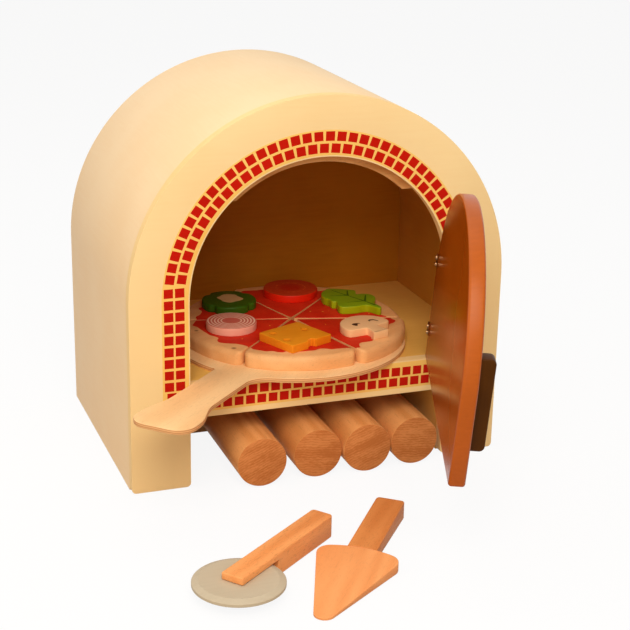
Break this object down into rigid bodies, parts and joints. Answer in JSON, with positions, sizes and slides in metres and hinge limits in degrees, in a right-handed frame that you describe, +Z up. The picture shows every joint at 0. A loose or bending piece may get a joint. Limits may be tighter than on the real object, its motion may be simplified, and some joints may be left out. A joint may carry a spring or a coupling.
{
  "type": "toy oven",
  "caption": "Wooden toy pizza oven with a round top, hinged arched door, log bay, and loose logs, peel, sliced pizza, toppings, cutter and server.",
  "frame": {"origin": "centre of the oven's footprint on the ground, half way between the front face and the shell's rear edge", "axes": "+Z up, +Y from the front face into the oven, +X to the right seen from the front, the door's hinge side"},
  "size_m": [0.3324, 0.4568, 0.317],
  "materials": {
    "painted_wood_front": "satin paint in cream, the mosaic printed on it",
    "painted_wood_shell": "satin paint in cream",
    "painted_wood_back": "satin paint in cream",
    "painted_wood_floor": "satin paint in cream",
    "plain_beech": "matte, bare wood",
    "hinge_steel": "brushed",
    "pin_steel": "polished",
    "stained_door": "semi-gloss brown stain",
    "dark_handle": "gloss dark-brown stain",
    "dowel_beech": "matte, bare wood",
    "log_wood": "satin, bare wood",
    "birch_ply": "satin, bare plywood",
    "slice_wood": "satin wood with a printed sauce layer",
    "basil_paint": "satin green paint",
    "tomato_paint": "satin red paint",
    "pepper_paint": "satin dark-green paint",
    "onion_paint": "satin pink paint",
    "cheese_paint": "satin orange paint",
    "mushroom_paint": "satin cream paint",
    "cutter_beech": "matte, bare wood",
    "wheel_paint": "matte grey-beige paint",
    "server_beech": "matte, bare wood"
  },
  "bodies": {
    "oven": {"front_panel": "painted_wood_front", "shell": "painted_wood_shell", "back_panel": "painted_wood_back", "oven_floor": "painted_wood_floor", "log_stop": "plain_beech", "bay_sides": "painted_wood_floor", "stop_arch": "plain_beech", "floor_cleats": "plain_beech", "hinge_panel_leaves": "hinge_steel", "hinge_pins": "pin_steel", "hinge_panel_screws": "pin_steel"},
    "door": {"door_panel": "stained_door", "door_handle": "dark_handle", "handle_dowels": "dowel_beech", "hinge_door_leaves": "hinge_steel", "hinge_door_screws": "pin_steel"},
    "log_1_body": {"log_1": "log_wood"},
    "log_2_body": {"log_2": "log_wood"},
    "log_3_body": {"log_3": "log_wood"},
    "log_4_body": {"log_4": "log_wood"},
    "peel_body": {"peel": "birch_ply"},
    "slice_1_body": {"slice_1": "slice_wood"},
    "slice_2_body": {"slice_2": "slice_wood"},
    "slice_3_body": {"slice_3": "slice_wood"},
    "slice_4_body": {"slice_4": "slice_wood"},
    "slice_5_body": {"slice_5": "slice_wood"},
    "slice_6_body": {"slice_6": "slice_wood"},
    "basil_body": {"topping_basil": "basil_paint"},
    "tomato_body": {"topping_tomato": "tomato_paint"},
    "pepper_body": {"topping_pepper": "pepper_paint"},
    "onion_body": {"topping_onion": "onion_paint"},
    "cheese_body": {"topping_cheese": "cheese_paint"},
    "mushroom_body": {"topping_mushroom": "mushroom_paint"},
    "cutter": {"cutter_handle": "cutter_beech", "cutter_pin": "dowel_beech"},
    "cutter_wheel_body": {"cutter_wheel": "wheel_paint"},
    "server": {"server_blade": "server_beech", "server_handle": "server_beech", "server_dowel": "dowel_beech"}
  },
  "joints": [
    {"name": "door_hinge", "type": "hinge", "parent": "oven", "child": "door", "pos_m": [0.11125, -0.119, 0.14], "axis": [0.0871, -0.0262, 0.9959], "range_deg": [-49, 99]},
    {"name": "log_1_slide", "type": "slide", "parent": "oven", "child": "log_1_body", "axis": [0, -1, 0], "range_m": [0, 0.08]},
    {"name": "log_2_slide", "type": "slide", "parent": "oven", "child": "log_2_body", "axis": [0, -1, 0], "range_m": [0, 0.075]},
    {"name": "log_3_slide", "type": "slide", "parent": "oven", "child": "log_3_body", "axis": [0, -1, 0], "range_m": [0, 0.07]},
    {"name": "log_4_slide", "type": "slide", "parent": "oven", "child": "log_4_body", "axis": [0, -1, 0], "range_m": [0, 0.125]},
    {"name": "peel_slide", "type": "slide", "parent": "oven", "child": "peel_body", "axis": [0, -1, 0], "range_m": [0, 0.035]},
    {"name": "slice_1_lift", "type": "slide", "parent": "peel_body", "child": "slice_1_body", "axis": [0, 0, 1], "range_m": [0, 0.025]},
    {"name": "slice_2_lift", "type": "slide", "parent": "peel_body", "child": "slice_2_body", "axis": [0, 0, 1], "range_m": [0, 0.025]},
    {"name": "slice_3_lift", "type": "slide", "parent": "peel_body", "child": "slice_3_body", "axis": [0, 0, 1], "range_m": [0, 0.025]},
    {"name": "slice_4_lift", "type": "slide", "parent": "peel_body", "child": "slice_4_body", "axis": [0, 0, 1], "range_m": [0, 0.025]},
    {"name": "slice_5_lift", "type": "slide", "parent": "peel_body", "child": "slice_5_body", "axis": [0, 0, 1], "range_m": [0, 0.025]},
    {"name": "slice_6_lift", "type": "slide", "parent": "peel_body", "child": "slice_6_body", "axis": [0, 0, 1], "range_m": [0, 0.025]},
    {"name": "basil_lift", "type": "slide", "parent": "slice_6_body", "child": "basil_body", "axis": [0, 0, 1], "range_m": [0, 0.025]},
    {"name": "tomato_lift", "type": "slide", "parent": "slice_1_body", "child": "tomato_body", "axis": [0, 0, 1], "range_m": [0, 0.025]},
    {"name": "pepper_lift", "type": "slide", "parent": "slice_2_body", "child": "pepper_body", "axis": [0, 0, 1], "range_m": [0, 0.025]},
    {"name": "onion_lift", "type": "slide", "parent": "slice_3_body", "child": "onion_body", "axis": [0, 0, 1], "range_m": [0, 0.025]},
    {"name": "cheese_lift", "type": "slide", "parent": "slice_4_body", "child": "cheese_body", "axis": [0, 0, 1], "range_m": [0, 0.025]},
    {"name": "mushroom_lift", "type": "slide", "parent": "slice_5_body", "child": "mushroom_body", "axis": [0, 0, 1], "range_m": [0, 0.025]},
    {"name": "cutter_lift", "type": "slide", "parent": "oven", "child": "cutter", "axis": [0, 0, 1], "range_m": [0, 0.045]},
    {"name": "cutter_wheel_spin", "type": "hinge", "parent": "cutter", "child": "cutter_wheel_body", "pos_m": [-0.12612, -0.2913, 0.00925], "axis": [0, 0, 1], "continuous": true},
    {"name": "server_lift", "type": "slide", "parent": "oven", "child": "server", "axis": [0, 0, 1], "range_m": [0, 0.045]}
  ]
}
